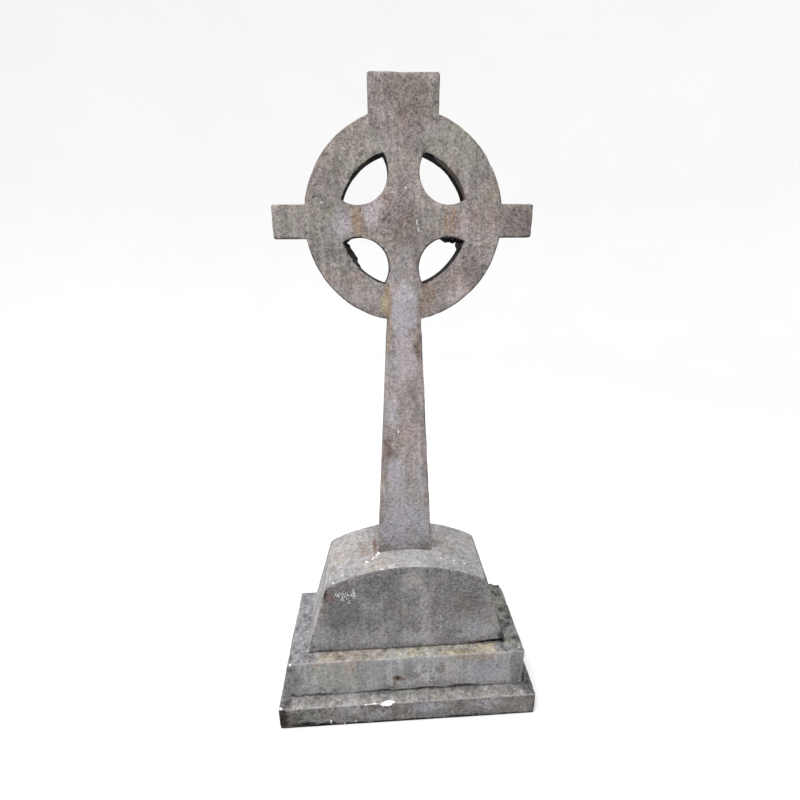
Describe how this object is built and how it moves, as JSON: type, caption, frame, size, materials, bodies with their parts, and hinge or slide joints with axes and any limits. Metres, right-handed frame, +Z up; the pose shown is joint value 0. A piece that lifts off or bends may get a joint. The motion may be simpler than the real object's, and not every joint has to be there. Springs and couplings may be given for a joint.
{
  "type": "ringed cross memorial",
  "caption": "Tall ringed cross on a tapering shaft, standing on an arched block, a step and a base slab, weathered grey stone finish.",
  "frame": {"origin": "middle of the base slab's underside, on the ground", "axes": "+Z up the shaft, the front facing -Y, +X along the arms to the right as seen from the front"},
  "size_m": [0.858, 0.406, 1.9],
  "materials": {
    "slab_coat": "rough sand-textured hard coat painted as weathered grey stone, grimy low down, with white chips",
    "step_coat": "rough sand-textured hard coat painted as weathered grey stone, ochre lichen on the ledge",
    "block_coat": "rough sand-textured hard coat painted as weathered grey stone, darker face, lighter crown",
    "cross_coat": "rough sand-textured hard coat painted as weathered stone, mottled pink-brown and blue-grey, ochre runs"
  },
  "bodies": {
    "root": {"base_slab": "slab_coat", "plinth_step": "step_coat", "plinth_block": "block_coat", "cross": "cross_coat"}
  },
  "joints": []
}
